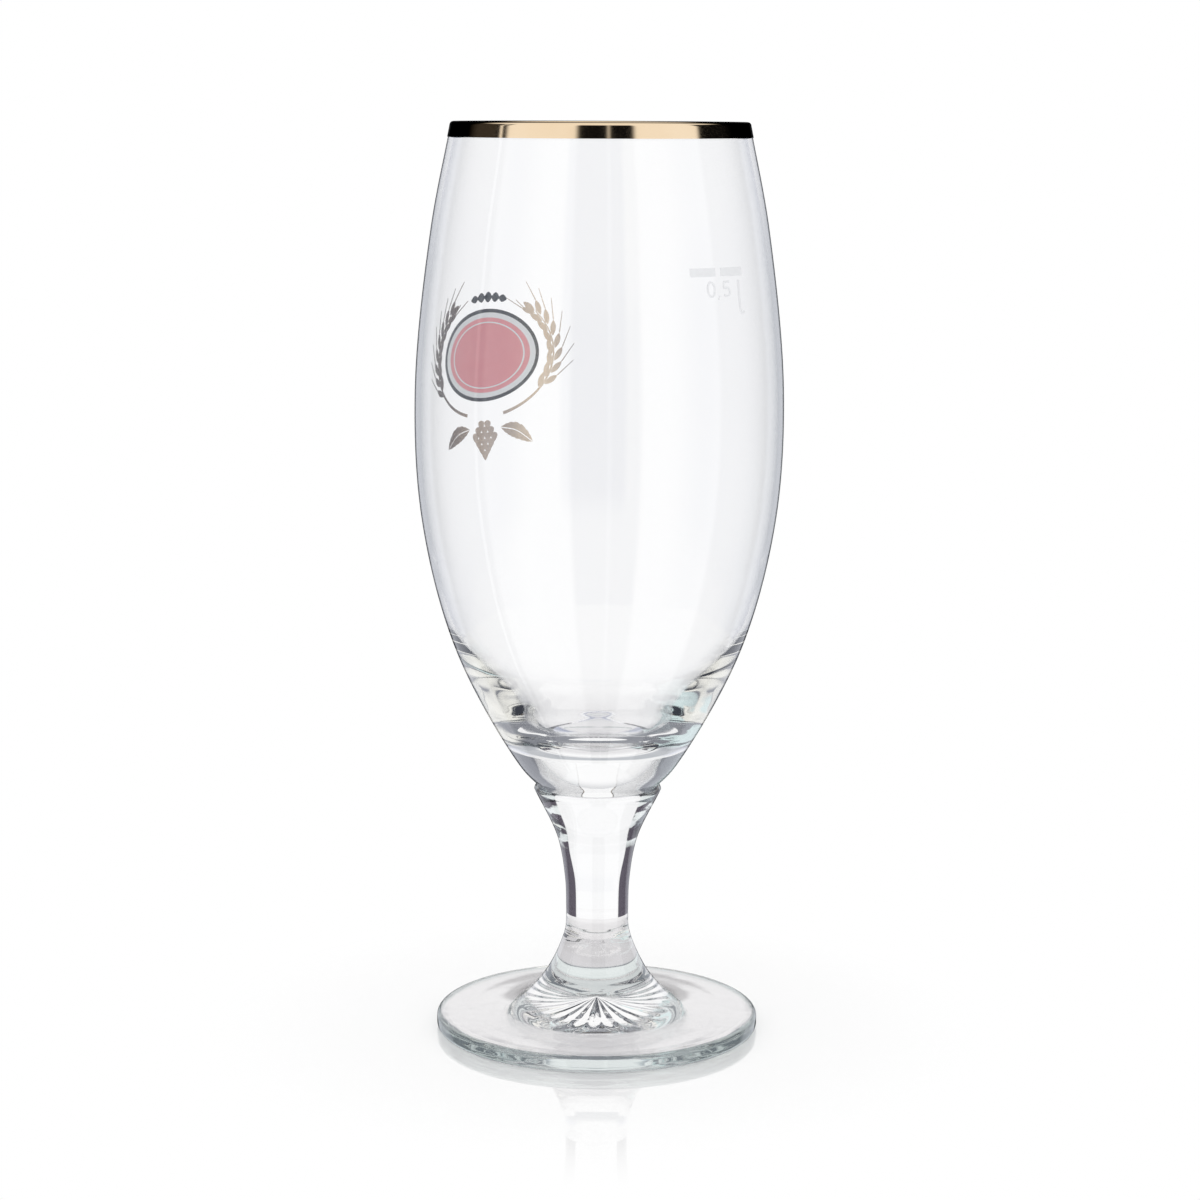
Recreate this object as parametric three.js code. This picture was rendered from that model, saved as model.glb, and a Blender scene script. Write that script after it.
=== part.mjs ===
// Stemmed pilsner glass: a blown bowl, a pressed stem and a pressed foot, fused end to end,
// with a gilded lip, a fired print on the front of the bowl and a fill mark on its back.
// Millimetres, +Z up. The origin is on the table, at the middle of the foot. The print faces -Y.

import * as THREE from 'three';

// Foot: a disc with a rounded edge that sweeps up into a flared neck.
const FOOT_RADIUS = 39;
const FOOT_EDGE_HEIGHT = 4;
const FOOT_EDGE_ROUND = 1.3;
const FOOT_SHELF_RADIUS = 30;
const FOOT_SHELF_RISE = 0.35;
const FOOT_SWEEP_RADIUS = 20;
const FOOT_SWEEP_RISE = 1.5;
const FOOT_FILLET_RADIUS = 14.2;
const FOOT_FILLET_RISE = 5.2;
const FLARE_RADIUS = 10.8;
const FLARE_RISE = 5.15;
const THROAT_RADIUS = 7.8;
const THROAT_RISE = 7.7;
const NECK_RISE = 4.4;

// The foot stands on a flat ring, and is hollowed inside it, with a dimple in the middle.
const STANDING_RING_WIDTH = 6;
const KICK_EDGE_WIDTH = 8;
const KICK_EDGE_RISE = 0.45;
const DIMPLE_RADIUS = 8;
const DIMPLE_EDGE_RISE = 1.4;
const DIMPLE_HEIGHT = 2.75;

// Stem: waisted above the foot, opening into a collar under the bowl.
const STEM_FOOT_RADIUS = 7.5;
const STEM_WAIST_RADIUS = 7.8;
const STEM_WAIST_RISE = 8.4;
const STEM_BELL_RADIUS = 9.7;
const STEM_BELL_RISE = 10.5;
const COLLAR_RADIUS = 15.3;
const COLLAR_RISE = 11.9;
const COLLAR_SHOULDER = 0.9;

// Bowl: the outline's radius and its rise over the station below, from the weld up to the lip.
const BOWL_WELD_RADIUS = 14.3;
const HEEL_RADIUS = 19;
const HEEL_RISE = 5.2;
const HAUNCH_RADIUS = 33.9;
const HAUNCH_RISE = 27.6;
const WAIST_RADIUS = 41.9;
const WAIST_RISE = 30.7;
const BELLY_RADIUS = 43.6;
const BELLY_RISE = 31.5;
const CROWN_RADIUS = 39.7;
const CROWN_RISE = 38.2;
const LIP_RADIUS = 35;
const LIP_RISE = 24.8;

// Glass thickness: the wall, and how it thickens towards the solid base.
const WALL = 1.4;
const BASE_THICKNESS = 11.8;
const FLOOR_RADIUS = 8;
const FLOOR_DISH = 0.4;
const FLOOR_EDGE_RISE = 2;
const FLOOR_EDGE_WALL = 10.1;
const BASE_ROUND_RISE = 4.6;
const BASE_ROUND_WALL = 6.6;
const BASE_CONE_RISE = 11.7;
const BASE_CONE_WALL = 4.6;
const KNEE_RISE = 20.5;
const KNEE_WALL = 2.4;
const THIN_WALL_RISE = 27;

// Fired films: gold over the lip, enamel and gold prints on the bowl.
const FILM = 0.12;
const FILM_CLEARANCE = 0.06;
const BAND_HEIGHT = 3.4;

// Front print: an oval panel in a wreath of two barley ears, with a hop below and a beaded arch above.
const PRINT_RISE = 101;
const PANEL_HALF_WIDTH = 14.5;
const PANEL_HALF_HEIGHT = 10;
const OUTLINE_GAP = 0.6;
const OUTLINE_WIDTH = 0.9;
const WREATH_GAP = 1.6;
const EAR_HALF_WIDTH = 2.3;
const STALK_HALF_WIDTH = 0.4;
const STALK_LENGTH = 12;
const STALK_SPACING = 12;
const EAR_TIP_LENGTH = 5;
const EAR_TIP_SPACING = 23;
const GRAIN_LENGTH = 3.2;
const GRAIN_NOTCH = 0.5;
const GRAIN_STEPS = 4;
const HOP_HALF_WIDTH = 4.2;
const HOP_LENGTH = 10;
const HOP_GAP = 0.8;
const HOP_TIERS = 4;
const HOP_SHOULDER = 0.2;
const HOP_SCALLOP = 0.14;
const LEAF_LENGTH = 9;
const LEAF_HALF_WIDTH = 2;
const LEAF_DROOP = 4;
const LEAF_GAP = 1.1;
const ARCH_HALF_SPAN = 6;
const ARCH_HALF_WIDTH = 0.2;
const BEADS = 5;
const BEAD_HALF_WIDTH = 1.3;
const BEAD_STEPS = 6;

// Fill mark on the back: two bars on the half-litre level, and the capacity under them.
const FILL_DROP = 32;
const MARK_OFFSET = -1.2;
const BAR_LENGTH = 7;
const BAR_THICKNESS = 1.9;
const BAR_GAP = 1.6;
const FIGURE_DROP = 1;
const FIGURE_WIDTH = 2.5;
const FIGURE_HEIGHT = 3.7;
const FIGURE_STROKE = 0.5;
const FIGURE_SPACE = 0.8;
const LITRE_HEIGHT = 7.8;
const LITRE_HOOK = 1.5;
const LITRE_STROKE = 0.7;
const LITRE_SPACE = 2.4;

// Fineness of the solids.
const TURNS = 40;
const STEM_TURNS = 32;
const BOWL_STEPS = 20;
const WELL_STEPS = 15;
const STEM_STEPS = 10;
const FOOT_STEPS = 15;
const KICK_STEPS = 8;
const ROUND_STEPS = 3;
const LIP_STEPS = 4;
const FILM_STEP = 2.4;
const RIBBON_STEP = 1.3;

const FRONT = 0;
const BACK = Math.PI;

// Heights of the two welds, the lip and the bottom of the well.
const filletTop = FOOT_EDGE_HEIGHT + FOOT_SHELF_RISE + FOOT_SWEEP_RISE + FOOT_FILLET_RISE;
const footWeld = filletTop + FLARE_RISE + THROAT_RISE + NECK_RISE;
const collarHeight = footWeld + STEM_WAIST_RISE + STEM_BELL_RISE + COLLAR_RISE;
const bowlWeld = collarHeight + COLLAR_SHOULDER;
const bowlHeight = HEEL_RISE + HAUNCH_RISE + WAIST_RISE + BELLY_RISE + CROWN_RISE + LIP_RISE;
const lipHeight = bowlWeld + bowlHeight;
const lipRound = WALL / 2;
const wellFloor = bowlWeld + BASE_THICKNESS;

// A smooth line of steps through stations given as [radius, height].
function smoothLine(stations, steps) {
  const points = stations.map(([radius, height]) => new THREE.Vector3(radius, height, 0));
  const curve = new THREE.CatmullRomCurve3(points, false, 'centripetal');
  return curve.getPoints(steps).map(({ x, y }) => new THREE.Vector2(Math.max(x, 0), y));
}

// Stations that climb: each entry is [radius, rise over the one before].
function climb(start, entries) {
  let height = start;
  return entries.map(([radius, rise]) => [radius, (height += rise)]);
}

// A quarter or half round of the section, from one angle to another, ends included.
function roundLine(radius, height, size, fromAngle, toAngle, steps) {
  return Array.from({ length: steps + 1 }, (_, i) => {
    const angle = fromAngle + ((toAngle - fromAngle) * i) / steps;
    return new THREE.Vector2(radius + size * Math.cos(angle), height + size * Math.sin(angle));
  });
}

// A solid of revolution about +Z, from a section that runs up its outside and down its inside.
function turned(section, segments) {
  return new THREE.LatheGeometry(section, segments).rotateX(Math.PI / 2);
}

// The bowl's outer line, and its radius at a height.
const bowlLine = smoothLine(climb(bowlWeld, [
  [BOWL_WELD_RADIUS, 0],
  [HEEL_RADIUS, HEEL_RISE],
  [HAUNCH_RADIUS, HAUNCH_RISE],
  [WAIST_RADIUS, WAIST_RISE],
  [BELLY_RADIUS, BELLY_RISE],
  [CROWN_RADIUS, CROWN_RISE],
  [LIP_RADIUS, LIP_RISE - lipRound],
]), BOWL_STEPS);

function bowlRadius(height) {
  const last = bowlLine.length - 1;
  const above = bowlLine.findIndex((point, i) => i > 0 && point.y >= height);
  const upper = above < 0 ? last : above;
  const a = bowlLine[upper - 1];
  const b = bowlLine[upper];
  return a.x + ((b.x - a.x) * (height - a.y)) / (b.y - a.y);
}

function bowlGeometry() {
  const wellStation = (rise, wall) => [bowlRadius(wellFloor + rise) - wall, wellFloor + rise];
  const well = smoothLine([
    [0, wellFloor],
    [FLOOR_RADIUS, wellFloor + FLOOR_DISH],
    wellStation(FLOOR_EDGE_RISE, FLOOR_EDGE_WALL),
    wellStation(BASE_ROUND_RISE, BASE_ROUND_WALL),
    wellStation(BASE_CONE_RISE, BASE_CONE_WALL),
    wellStation(KNEE_RISE, KNEE_WALL),
    wellStation(THIN_WALL_RISE, WALL),
  ], WELL_STEPS);
  const thinFrom = wellFloor + THIN_WALL_RISE;
  const thinWall = bowlLine
    .filter((point) => point.y > thinFrom + WALL)
    .map((point) => new THREE.Vector2(point.x - WALL, point.y));
  const lip = roundLine(LIP_RADIUS - lipRound, lipHeight - lipRound, lipRound, 0, Math.PI, LIP_STEPS);
  const inside = [...well, ...thinWall.slice(0, -1)].reverse();
  const section = [new THREE.Vector2(0, bowlWeld), ...bowlLine.slice(0, -1), ...lip, ...inside];
  return turned(section, TURNS);
}

function stemGeometry() {
  const side = smoothLine(climb(footWeld, [
    [STEM_FOOT_RADIUS, 0],
    [STEM_WAIST_RADIUS, STEM_WAIST_RISE],
    [STEM_BELL_RADIUS, STEM_BELL_RISE],
    [COLLAR_RADIUS, COLLAR_RISE],
  ]), STEM_STEPS);
  const shoulderRadius = COLLAR_RADIUS - COLLAR_SHOULDER;
  const shoulder = roundLine(shoulderRadius, collarHeight, COLLAR_SHOULDER, 0, Math.PI / 2, ROUND_STEPS);
  const section = [
    new THREE.Vector2(0, footWeld),
    ...side.slice(0, -1),
    ...shoulder,
    new THREE.Vector2(0, bowlWeld),
  ];
  return turned(section, STEM_TURNS);
}

function footGeometry() {
  const ringOuter = FOOT_RADIUS - FOOT_EDGE_ROUND;
  const ringInner = ringOuter - STANDING_RING_WIDTH;
  const kick = smoothLine(climb(0, [
    [ringInner, 0],
    [ringInner - KICK_EDGE_WIDTH, KICK_EDGE_RISE],
    [DIMPLE_RADIUS, DIMPLE_EDGE_RISE],
    [0, DIMPLE_HEIGHT],
  ]), KICK_STEPS).reverse();
  const edgeTop = FOOT_EDGE_HEIGHT - FOOT_EDGE_ROUND;
  const lowerRound = roundLine(ringOuter, FOOT_EDGE_ROUND, FOOT_EDGE_ROUND, -Math.PI / 2, 0, ROUND_STEPS);
  const upperRound = roundLine(ringOuter, edgeTop, FOOT_EDGE_ROUND, 0, Math.PI / 2, ROUND_STEPS);
  const top = smoothLine(climb(FOOT_EDGE_HEIGHT, [
    [ringOuter, 0],
    [FOOT_SHELF_RADIUS, FOOT_SHELF_RISE],
    [FOOT_SWEEP_RADIUS, FOOT_SWEEP_RISE],
    [FOOT_FILLET_RADIUS, FOOT_FILLET_RISE],
    [FLARE_RADIUS, FLARE_RISE],
    [THROAT_RADIUS, THROAT_RISE],
    [STEM_FOOT_RADIUS, NECK_RISE],
  ]), FOOT_STEPS);
  const section = [...kick, ...lowerRound, ...upperRound, ...top.slice(1), new THREE.Vector2(0, footWeld)];
  return turned(section, TURNS);
}

// Gold over the lip: a skin of the lip's round, carried down the outside as a band.
function rimBandGeometry() {
  const foot = lipHeight - BAND_HEIGHT;
  const skin = (offset) => [
    new THREE.Vector2(bowlRadius(foot) + offset, foot),
    ...roundLine(LIP_RADIUS - lipRound, lipHeight - lipRound, lipRound + offset, 0, Math.PI, LIP_STEPS),
  ];
  const outer = skin(FILM_CLEARANCE + FILM);
  const inner = skin(FILM_CLEARANCE).reverse();
  return turned([...outer, ...inner, outer[0].clone()], TURNS);
}

// A printed film: a ribbon along a flat line, wrapped on the bowl. The line is drawn as seen from
// outside, with x across and y up from the given height, and halfWidth(share of the length) beside it.
function filmGeometry({ line, halfWidth, facing, height, closed = false, step = RIBBON_STEP }) {
  const length = line.getLength();
  const along = Math.max(2, Math.ceil(length / step));
  const widths = Array.from({ length: along + 1 }, (_, i) => halfWidth(i / along));
  const across = Math.max(1, Math.ceil((2 * Math.max(...widths)) / FILM_STEP));
  const spread = bowlRadius(height);
  const rows = closed ? along : along + 1;
  const stride = across + 1;
  const layer = rows * stride;
  const positions = [];
  for (const offset of [FILM_CLEARANCE, FILM_CLEARANCE + FILM]) {
    for (let i = 0; i < rows; i++) {
      const point = line.getPointAt(i / along);
      const tangent = line.getTangentAt(i / along);
      for (let j = 0; j < stride; j++) {
        const side = widths[i] * ((2 * j) / across - 1);
        const angle = facing + (point.x + tangent.y * side) / spread;
        const level = height + point.y - tangent.x * side;
        const radius = bowlRadius(level) + offset;
        positions.push(radius * Math.sin(angle), -radius * Math.cos(angle), level);
      }
    }
  }
  const index = [];
  const quad = (a, b, c, d) => index.push(a, b, c, a, c, d);
  const at = (top, i, j) => top * layer + (i % rows) * stride + j;
  for (let i = 0; i < along; i++) {
    for (let j = 0; j < across; j++) {
      quad(at(1, i, j), at(1, i, j + 1), at(1, i + 1, j + 1), at(1, i + 1, j));
      quad(at(0, i, j), at(0, i + 1, j), at(0, i + 1, j + 1), at(0, i, j + 1));
    }
    quad(at(0, i, 0), at(1, i, 0), at(1, i + 1, 0), at(0, i + 1, 0));
    quad(at(0, i, across), at(0, i + 1, across), at(1, i + 1, across), at(1, i, across));
  }
  for (let j = 0; j < across && !closed; j++) {
    quad(at(0, 0, j), at(0, 0, j + 1), at(1, 0, j + 1), at(1, 0, j));
    quad(at(0, along, j), at(1, along, j), at(1, along, j + 1), at(0, along, j + 1));
  }
  const geometry = new THREE.BufferGeometry();
  geometry.setAttribute('position', new THREE.Float32BufferAttribute(positions, 3));
  geometry.setIndex(index);
  return geometry;
}

// Pen lines in the flat, and a pen of even width.
function flatLine(points) {
  return new THREE.CatmullRomCurve3(points.map(([x, y]) => new THREE.Vector3(x, y, 0)));
}

function straight(x0, y0, x1, y1) {
  return new THREE.LineCurve(new THREE.Vector2(x0, y0), new THREE.Vector2(x1, y1));
}

const even = (size) => () => size / 2;

// Sizes that the front print's parts share.
const printHeight = bowlWeld + PRINT_RISE;
const outlineSpan = OUTLINE_GAP + OUTLINE_WIDTH / 2;
const wreathSpan = OUTLINE_GAP + OUTLINE_WIDTH + WREATH_GAP + EAR_HALF_WIDTH;
const wreathHalfHeight = PANEL_HALF_HEIGHT + wreathSpan;
const front = (film) => filmGeometry({ facing: FRONT, height: printHeight, ...film });

// The panel's ends are blunt by one film thickness, so that it stays a closed solid there.
function panelGeometry() {
  const line = straight(-PANEL_HALF_WIDTH, 0, PANEL_HALF_WIDTH, 0);
  const halfWidth = (share) => PANEL_HALF_HEIGHT * Math.sqrt(Math.max(0, 1 - (2 * share - 1) ** 2)) + FILM;
  return front({ line, halfWidth, step: FILM_STEP });
}

function outlineGeometry() {
  const line = new THREE.EllipseCurve(0, 0, PANEL_HALF_WIDTH + outlineSpan, PANEL_HALF_HEIGHT + outlineSpan);
  return front({ line, halfWidth: even(OUTLINE_WIDTH), closed: true });
}

// A barley ear: a thin stalk that swells into rows of grains and runs out to a point. It bends round
// the panel from its stalk's end, beside the hop, up to its tip.
function earGeometry(side) {
  const reach = PANEL_HALF_WIDTH + wreathSpan;
  const stalkAngle = -Math.acos(STALK_SPACING / 2 / reach);
  const tipAngle = Math.acos(EAR_TIP_SPACING / 2 / reach);
  const facing = (angle) => (side > 0 ? angle : Math.PI - angle);
  const line = new THREE.EllipseCurve(
    0, 0, reach, wreathHalfHeight, facing(stalkAngle), facing(tipAngle), side < 0,
  );
  const length = line.getLength();
  const halfWidth = (share) => {
    const beyondStalk = share * length - STALK_LENGTH;
    if (beyondStalk <= 0) return STALK_HALF_WIDTH;
    const toTip = (1 - share) * length;
    const taper = Math.min(1, toTip / EAR_TIP_LENGTH);
    const grain = Math.abs(Math.sin((Math.PI * beyondStalk) / GRAIN_LENGTH));
    const fullness = 1 - GRAIN_NOTCH + GRAIN_NOTCH * grain;
    return STALK_HALF_WIDTH + (EAR_HALF_WIDTH - STALK_HALF_WIDTH) * fullness * taper;
  };
  return front({ line, halfWidth, step: GRAIN_LENGTH / GRAIN_STEPS });
}

// A hop cone, hanging point down, widest a little below its top, with scalloped tiers of bracts.
function hopGeometry() {
  const top = -wreathHalfHeight - HOP_GAP;
  const halfWidth = (share) => {
    const belowWidest = (share - HOP_SHOULDER) / (1 - HOP_SHOULDER);
    const body = Math.sqrt(Math.max(0, 1 - belowWidest ** 2));
    const scallop = 1 - HOP_SCALLOP + HOP_SCALLOP * Math.abs(Math.sin(share * HOP_TIERS * Math.PI));
    return HOP_HALF_WIDTH * body * scallop + FILM;
  };
  return front({ line: straight(0, top, 0, top - HOP_LENGTH), halfWidth });
}

function leafGeometry(side) {
  const startX = HOP_HALF_WIDTH + LEAF_GAP;
  const startY = -wreathHalfHeight - HOP_GAP - LEAF_HALF_WIDTH;
  const line = flatLine([
    [side * startX, startY],
    [side * (startX + LEAF_LENGTH / 2), startY - LEAF_DROOP / 4],
    [side * (startX + LEAF_LENGTH), startY - LEAF_DROOP],
  ]);
  const halfWidth = (share) => LEAF_HALF_WIDTH * Math.sin(Math.PI * share) ** 0.8 + FILM;
  return front({ line, halfWidth });
}

// A line of beads over the panel, the largest in the middle.
function archGeometry() {
  const reach = OUTLINE_GAP + OUTLINE_WIDTH + WREATH_GAP + BEAD_HALF_WIDTH;
  const halfLength = PANEL_HALF_WIDTH + reach;
  const lean = Math.asin(ARCH_HALF_SPAN / halfLength);
  const line = new THREE.EllipseCurve(
    0, 0, halfLength, PANEL_HALF_HEIGHT + reach, Math.PI / 2 + lean, Math.PI / 2 - lean, true,
  );
  const halfWidth = (share) => {
    const bead = Math.abs(Math.sin(Math.PI * BEADS * share));
    const size = (1 + Math.sin(Math.PI * share)) / 2;
    return ARCH_HALF_WIDTH + (BEAD_HALF_WIDTH - ARCH_HALF_WIDTH) * bead * size;
  };
  return front({ line, halfWidth, step: line.getLength() / (BEADS * BEAD_STEPS) });
}

// Sizes and places that the fill mark's parts share.
const fillHeight = lipHeight - FILL_DROP;
const figureTop = -BAR_THICKNESS - FIGURE_DROP;
const figureMiddle = figureTop - FIGURE_HEIGHT / 2;
const litreX = MARK_OFFSET + BAR_GAP / 2 + BAR_LENGTH - LITRE_HOOK;
const fiveX = litreX - LITRE_STROKE / 2 - LITRE_SPACE - FIGURE_WIDTH / 2;
const commaX = fiveX - FIGURE_WIDTH / 2 - FIGURE_SPACE - FIGURE_STROKE / 2;
const zeroX = commaX - FIGURE_STROKE / 2 - FIGURE_SPACE - FIGURE_WIDTH / 2;
const back = (film) => filmGeometry({ facing: BACK, height: fillHeight, ...film });

function fillBarGeometry(side) {
  const near = MARK_OFFSET + (side * BAR_GAP) / 2;
  const far = near + side * BAR_LENGTH;
  const middle = -BAR_THICKNESS / 2;
  return back({ line: straight(near, middle, far, middle), halfWidth: even(BAR_THICKNESS) });
}

function zeroGeometry() {
  const inset = FIGURE_STROKE / 2;
  const line = new THREE.EllipseCurve(
    zeroX, figureMiddle, FIGURE_WIDTH / 2 - inset, FIGURE_HEIGHT / 2 - inset,
  );
  return back({ line, halfWidth: even(FIGURE_STROKE), closed: true });
}

function commaGeometry() {
  const foot = figureTop - FIGURE_HEIGHT;
  const line = straight(commaX, foot + FIGURE_STROKE, commaX - FIGURE_STROKE / 2, foot - FIGURE_STROKE);
  return back({ line, halfWidth: (share) => (FIGURE_STROKE / 2) * (1 - 0.5 * share) });
}

function fiveGeometry() {
  const place = ([x, y]) => [fiveX + (x * FIGURE_WIDTH) / 2, figureMiddle + (y * FIGURE_HEIGHT) / 2];
  const pen = [
    [0.75, 0.86], [-0.1, 0.86], [-0.62, 0.75], [-0.74, 0.3], [-0.5, 0.08], [0.1, 0.16],
    [0.68, -0.12], [0.62, -0.62], [0.05, -0.87], [-0.72, -0.72],
  ];
  return back({ line: flatLine(pen.map(place)), halfWidth: even(FIGURE_STROKE) });
}

// The litre sign: a tall stroke that hooks up at its foot.
function litreGeometry() {
  const foot = figureTop - LITRE_HEIGHT;
  const line = flatLine([
    [litreX, figureTop],
    [litreX, foot + LITRE_HOOK * 2],
    [litreX + LITRE_HOOK * 0.15, foot + LITRE_HOOK * 0.6],
    [litreX + LITRE_HOOK * 0.6, foot + LITRE_STROKE / 2],
    [litreX + LITRE_HOOK, foot + LITRE_HOOK * 0.6],
  ]);
  return back({ line, halfWidth: (share) => (LITRE_STROKE / 2) * (1 - 0.45 * share) });
}

// Finishes: colour, roughness and metalness of each piece.
const GLASS = { color: 0xeef2f4, roughness: 0.03, metalness: 0, transparent: true, opacity: 0.35 };
const GILDING = { color: 0xc79a63, roughness: 0.12, metalness: 1 };
const GOLD_PRINT = { color: 0x8a6a45, roughness: 0.35, metalness: 0.8 };
const RED_ENAMEL = { color: 0xc4525c, roughness: 0.4, metalness: 0 };
const DARK_ENAMEL = { color: 0x2a2626, roughness: 0.4, metalness: 0 };
const PALE_ENAMEL = { color: 0xe4e5e8, roughness: 0.6, metalness: 0 };

const glass = new THREE.Group();

function addPiece(name, geometry, finish) {
  const piece = new THREE.Mesh(geometry, new THREE.MeshStandardMaterial(finish));
  piece.name = name;
  glass.add(piece);
}

addPiece('bowl', bowlGeometry(), GLASS);
addPiece('stem', stemGeometry(), GLASS);
addPiece('foot', footGeometry(), GLASS);
addPiece('rim_band', rimBandGeometry(), GILDING);
addPiece('oval_panel', panelGeometry(), RED_ENAMEL);
addPiece('oval_outline', outlineGeometry(), DARK_ENAMEL);
addPiece('barley_ear_left', earGeometry(-1), GOLD_PRINT);
addPiece('barley_ear_right', earGeometry(1), GOLD_PRINT);
addPiece('hop_cone', hopGeometry(), GOLD_PRINT);
addPiece('hop_leaf_left', leafGeometry(-1), GOLD_PRINT);
addPiece('hop_leaf_right', leafGeometry(1), GOLD_PRINT);
addPiece('beaded_arch', archGeometry(), DARK_ENAMEL);
addPiece('fill_bar_left', fillBarGeometry(-1), PALE_ENAMEL);
addPiece('fill_bar_right', fillBarGeometry(1), PALE_ENAMEL);
addPiece('capacity_zero', zeroGeometry(), PALE_ENAMEL);
addPiece('capacity_comma', commaGeometry(), PALE_ENAMEL);
addPiece('capacity_five', fiveGeometry(), PALE_ENAMEL);
addPiece('capacity_litre', litreGeometry(), PALE_ENAMEL);

export default glass;
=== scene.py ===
"""Looks of a stemmed pilsner glass: clear glass, a gilded lip, a fired print and a fill mark."""
import math

import bpy
import numpy as np
from mathutils import Matrix, Vector


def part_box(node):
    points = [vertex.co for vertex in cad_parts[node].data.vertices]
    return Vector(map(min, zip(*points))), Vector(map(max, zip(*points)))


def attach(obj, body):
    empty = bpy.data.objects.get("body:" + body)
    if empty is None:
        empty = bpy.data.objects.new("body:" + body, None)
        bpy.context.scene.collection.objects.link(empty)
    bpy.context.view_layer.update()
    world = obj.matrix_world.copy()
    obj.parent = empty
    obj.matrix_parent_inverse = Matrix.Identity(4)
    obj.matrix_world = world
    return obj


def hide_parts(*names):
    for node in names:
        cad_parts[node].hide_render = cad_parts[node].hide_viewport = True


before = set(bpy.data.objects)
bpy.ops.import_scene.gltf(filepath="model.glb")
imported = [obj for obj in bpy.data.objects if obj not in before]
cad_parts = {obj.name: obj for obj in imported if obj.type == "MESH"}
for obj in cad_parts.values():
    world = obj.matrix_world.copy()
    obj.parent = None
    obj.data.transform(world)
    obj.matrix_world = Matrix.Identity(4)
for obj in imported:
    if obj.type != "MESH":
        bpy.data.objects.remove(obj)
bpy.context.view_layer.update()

# Sizes are in millimetres, and a mesh is scaled to metres when it is made.
MM = 0.001

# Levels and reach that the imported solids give.
FOOT_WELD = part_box("foot")[1].z / MM
BOWL_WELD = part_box("bowl")[0].z / MM
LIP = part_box("bowl")[1].z / MM
FOOT_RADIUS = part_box("foot")[1].x / MM

# Foot: its edge, and the stations of its top as (radius, rise over the one before).
FOOT_EDGE_HEIGHT = 4
FOOT_EDGE_ROUND = 1.3
STANDING_RING_WIDTH = 6
KICK_EDGE_WIDTH = 8
KICK_EDGE_RISE = 0.45
DIMPLE_RADIUS = 8
DIMPLE_EDGE_RISE = 1.4
DIMPLE_HEIGHT = 2.75
FOOT_TOP = [(30, 0.35), (20, 1.5), (14.2, 5.2), (10.8, 5.15), (7.8, 7.7), (7.5, 4.4)]

# Stem and its collar.
STEM_SIDE = [(7.5, 0), (7.8, 8.4), (9.7, 10.5), (15.3, 11.9)]
COLLAR_SHOULDER = 0.9

# Bowl: the outline, and the wall's thickness by its rise over the bottom of the well.
BOWL_SIDE = [(14.3, 0), (19, 5.2), (33.9, 27.6), (41.9, 30.7), (43.6, 31.5), (39.7, 38.2), (35, 24.8)]
WALL = 1.4
BASE_THICKNESS = 11.8
FLOOR_RADIUS = 8
FLOOR_DISH = 0.4
WELL_WALLS = [(2, 10.1), (4.6, 6.6), (11.7, 4.6), (20.5, 2.4), (27, 1.6), (36, WALL), (46, WALL)]

# Fired films.
FILM = 0.12
FILM_CLEARANCE = 0.06
BAND_HEIGHT = 3.4

# Front print.
PRINT_LEVEL = BOWL_WELD + 101
PANEL_HALF_WIDTH = 14.5
PANEL_HALF_HEIGHT = 10
OUTLINE_GAP = 0.6
OUTLINE_WIDTH = 0.9
WREATH_GAP = 1.6
EAR_HALF_WIDTH = 2.3
STALK_HALF_WIDTH = 0.4
STALK_TOP_HALF_WIDTH = 0.26
STALK_TIP_HALF_WIDTH = 0.12
STALK_LENGTH = 12
STALK_SPACING = 12
EAR_TIP_SPACING = 23
GRAIN_LENGTH = 3.9
GRAIN_HALF_WIDTH = 0.72
GRAIN_PITCH = 1.55
GRAIN_LEAN = math.radians(21)
GRAIN_SPREAD = 0.42
GRAIN_FULLNESS = 0.75
AWN_LENGTH = 5.5
AWN_HALF_WIDTH = 0.13
AWN_LEAN_SHARE = 0.55
AWN_GAP = 0.1
AWN_TAPER = 0.5
TIP_GAP_SHARE = 0.1
HOP_HALF_WIDTH = 4.2
HOP_LENGTH = 10
HOP_GAP = 0.8
BRACT_ROWS = [2, 3, 4, 3, 2, 1]
BRACT_LENGTH_IN_ROWS = 1.55
BRACT_HALF_WIDTH_SHARE = 0.47
BRACT_FULLNESS = 2.6
BRACT_ROOT_SHARE = 0.96
BRACT_TIP_SHARE = 1.02
BRACT_OVERHANG_IN_ROWS = 0.6
LEAF_LENGTH = 9
LEAF_HALF_WIDTH = 2
LEAF_DROOP = 4
LEAF_GAP = 1.1
LEAF_TEETH = 7
TOOTH_DEPTH = 0.16
VEIN_HALF_WIDTH = 0.1
ARCH_HALF_SPAN = 6
ARCH_HALF_WIDTH = 0.2
BEADS = 5
BEAD_HALF_WIDTH = 1.3

# Fill mark on the back.
FILL_LEVEL = LIP - 32
BAR_LENGTH = 7
BAR_THICKNESS = 1.9
BAR_GAP = 1.6
FIGURE_DROP = 1.0
MARK_OFFSET = -1.2
FIGURE_WIDTH = 2.5
FIGURE_HEIGHT = 3.7
FIGURE_STROKE = 0.5
FIGURE_SPACE = 0.8
LITRE_HEIGHT = 7.8
LITRE_HOOK = 1.5
LITRE_STROKE = 0.7
LITRE_SPACE = 2.4
COMMA_TAPER = 0.5
LITRE_TAPER = 0.55

# Fineness of the meshes.
TURNS = 192
LINE_STEPS = 20
ROUND_STEPS = 8
FILM_CELL = 1.0
POINT = 0.05
AXIS = POINT / 10
STALK_POINTS = 60
EAR_STEP = 0.5
CREASE = math.radians(35)

FRONT = 0
BACK = math.pi

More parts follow.
